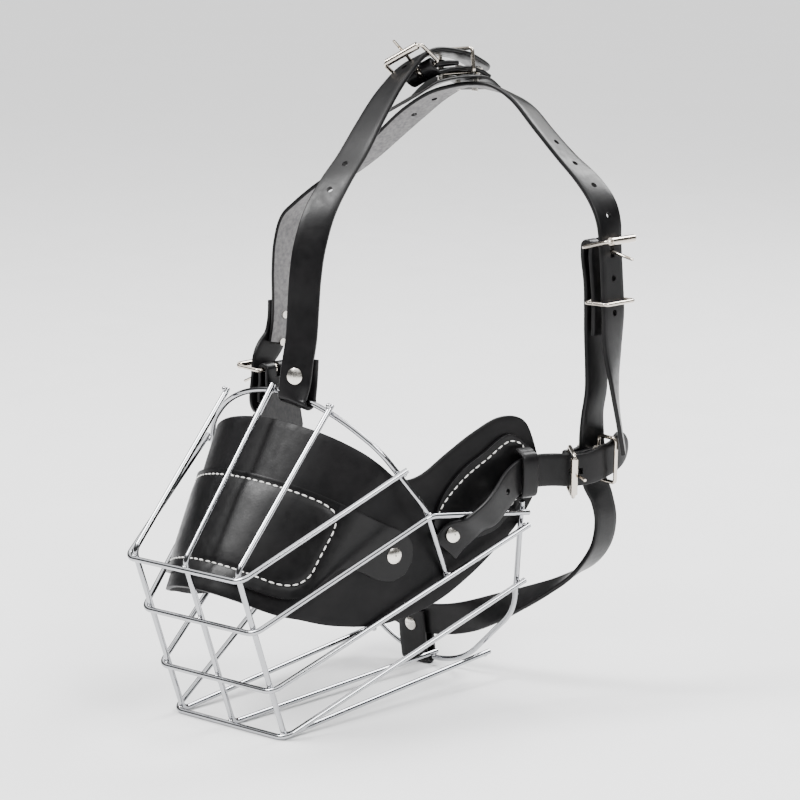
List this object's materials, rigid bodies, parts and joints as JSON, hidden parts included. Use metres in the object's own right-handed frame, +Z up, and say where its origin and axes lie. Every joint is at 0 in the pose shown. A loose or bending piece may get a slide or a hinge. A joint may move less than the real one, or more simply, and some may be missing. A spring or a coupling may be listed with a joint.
{
  "type": "dog muzzle",
  "caption": "Wire basket dog muzzle with a padded leather nose saddle and a black leather harness of buckled straps over the crown, forehead, cheeks and throat.",
  "frame": {"origin": "bottom centre of the bounding box, on the floor that the basket stands on", "axes": "+Z up, -Y towards the dog's nose, +X towards the dog's left cheek"},
  "size_m": [0.2338, 0.2123, 0.3289],
  "materials": {
    "chrome_wire": "bright chromium plate over drawn steel wire",
    "saddle_leather": "smooth black harness leather, flesh side grey",
    "cover_leather": "soft black leather, stitched with white thread",
    "strap_leather": "black strap leather, creased and edge-dyed",
    "nickel": "nickel-plated steel, slightly worn",
    "rivet_nickel": "nickel-plated cap rivets"
  },
  "bodies": {
    "muzzle": {"ring_wire_1": "chrome_wire", "ring_wire_2": "chrome_wire", "ring_wire_3": "chrome_wire", "ring_wire_4": "chrome_wire", "long_wire_left": "chrome_wire", "long_wire_middle": "chrome_wire", "long_wire_right": "chrome_wire", "arch_wire": "chrome_wire", "rear_hoop_wire": "chrome_wire", "nose_saddle": "saddle_leather", "nose_cover": "cover_leather", "cheek_patch_left": "cover_leather", "cheek_patch_right": "cover_leather", "crown_patch": "cover_leather", "cheek_strap_left": "strap_leather", "cheek_strap_right": "strap_leather", "strap_loop_left": "strap_leather", "strap_loop_right": "strap_leather", "forehead_strap": "strap_leather", "crown_strap": "strap_leather", "crown_buckle_strap": "strap_leather", "side_strap_left": "strap_leather", "side_strap_right": "strap_leather", "cheek_buckle_tab": "strap_leather", "throat_strap": "strap_leather", "throat_loop": "strap_leather", "crown_buckle_frame": "nickel", "side_buckle_frame": "nickel", "cheek_buckle_frame_right": "nickel", "cheek_buckle_frame_left": "nickel", "crown_keeper": "nickel", "side_keeper": "nickel", "cheek_keeper_right": "nickel", "saddle_rivets": "rivet_nickel", "forehead_rivet": "rivet_nickel", "crown_rivets": "rivet_nickel", "side_rivets_right": "rivet_nickel", "side_rivets_left": "rivet_nickel", "cheek_rivets_right": "rivet_nickel", "throat_rivet": "rivet_nickel"},
    "crown_buckle_roller": {"crown_buckle_roller": "nickel"},
    "crown_buckle_prong": {"crown_buckle_prong": "nickel"},
    "side_buckle_roller": {"side_buckle_roller": "nickel"},
    "side_buckle_prong": {"side_buckle_prong": "nickel"},
    "cheek_buckle_right_roller": {"cheek_buckle_roller_right": "nickel"},
    "cheek_buckle_right_prong": {"cheek_buckle_prong_right": "nickel"},
    "cheek_buckle_left_roller": {"cheek_buckle_roller_left": "nickel"},
    "cheek_buckle_left_prong": {"cheek_buckle_prong_left": "nickel"}
  },
  "joints": [
    {"name": "crown_buckle_roller_spin", "type": "hinge", "parent": "muzzle", "child": "crown_buckle_roller", "pos_m": [0.0069, 0.03981, 0.32167], "axis": [-0.8083, -0.3293, -0.4881], "continuous": true},
    {"name": "crown_buckle_prong_swing", "type": "hinge", "parent": "muzzle", "child": "crown_buckle_prong", "pos_m": [0.0069, 0.0534, 0.3125], "axis": [-0.8083, -0.3293, -0.4881], "range_deg": [0, 12]},
    {"name": "side_buckle_roller_spin", "type": "hinge", "parent": "muzzle", "child": "side_buckle_roller", "pos_m": [0.10981, 0.0859, 0.23348], "axis": [0, 1, 0], "continuous": true},
    {"name": "side_buckle_prong_swing", "type": "hinge", "parent": "muzzle", "child": "side_buckle_prong", "pos_m": [0.0939, 0.0859, 0.2295], "axis": [0, 1, 0], "range_deg": [-15, 7]},
    {"name": "cheek_buckle_right_roller_spin", "type": "hinge", "parent": "muzzle", "child": "cheek_buckle_right_roller", "pos_m": [0.10093, 0.06137, 0.1179], "axis": [0.0721, -0.0661, 0.9952], "continuous": true},
    {"name": "cheek_buckle_right_prong_swing", "type": "hinge", "parent": "muzzle", "child": "cheek_buckle_right_prong", "pos_m": [0.0889, 0.0724, 0.1195], "axis": [0.0721, -0.0661, 0.9952], "range_deg": [0, 12]},
    {"name": "cheek_buckle_left_roller_spin", "type": "hinge", "parent": "muzzle", "child": "cheek_buckle_left_roller", "pos_m": [-0.11147, 0.0514, 0.15202], "axis": [0, -1, 0], "continuous": true},
    {"name": "cheek_buckle_left_prong_swing", "type": "hinge", "parent": "muzzle", "child": "cheek_buckle_left_prong", "pos_m": [-0.0951, 0.0514, 0.151], "axis": [0, -1, 0], "range_deg": [-15, 7]}
  ]
}
